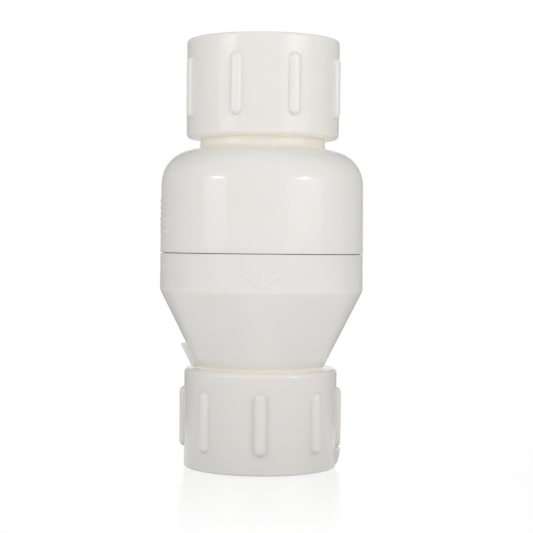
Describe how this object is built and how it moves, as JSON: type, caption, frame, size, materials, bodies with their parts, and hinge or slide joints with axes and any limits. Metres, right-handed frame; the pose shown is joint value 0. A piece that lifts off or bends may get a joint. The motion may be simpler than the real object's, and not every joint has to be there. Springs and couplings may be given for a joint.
{
  "type": "check valve",
  "caption": "In-line spring check valve in white PVC: round-shouldered and conical casings between ribbed, female-threaded end hubs, with a sliding spring-loaded poppet inside.",
  "frame": {"origin": "centre of the outlet hub's end face, on the valve's axis", "axes": "+Z along the valve's axis from outlet to inlet; flow runs along -Z; the front with the flow arrow faces -Y"},
  "size_m": [0.0974, 0.0976, 0.2032],
  "materials": {
    "white_pvc": "gloss",
    "black_rubber": "matte",
    "white_acetal": "satin",
    "stainless_steel": "satin"
  },
  "bodies": {
    "valve_body": {"inlet_casing": "white_pvc", "outlet_casing": "white_pvc", "inlet_hub": "white_pvc", "outlet_hub": "white_pvc", "casing_o_ring": "black_rubber", "seat_ring": "white_acetal", "seat_o_ring": "black_rubber", "seat_snap_ring": "stainless_steel", "guide_spider": "white_acetal", "guide_bush": "white_acetal", "stop_bumper": "black_rubber", "lower_spring_washer": "stainless_steel", "spring": "stainless_steel"},
    "spring_follower": {"thrust_washer": "stainless_steel"},
    "poppet": {"poppet_disc": "white_pvc", "poppet_seal": "black_rubber", "seal_retainer": "stainless_steel", "poppet_stem": "stainless_steel", "lock_washer": "stainless_steel", "stem_nut": "stainless_steel", "stem_end_washer": "stainless_steel", "stem_clip": "stainless_steel"}
  },
  "joints": [
    {"name": "poppet_slide", "type": "slide", "parent": "valve_body", "child": "spring_follower", "axis": [0, 0, -1], "range_m": [0, 0.015], "stiffness_N_per_m": 1870, "springref_m": -0.0047, "deforming": ["spring"]},
    {"name": "poppet_spin", "type": "hinge", "parent": "spring_follower", "child": "poppet", "pos_m": [0, 0, 0.1302], "axis": [0, 0, 1], "continuous": true}
  ]
}
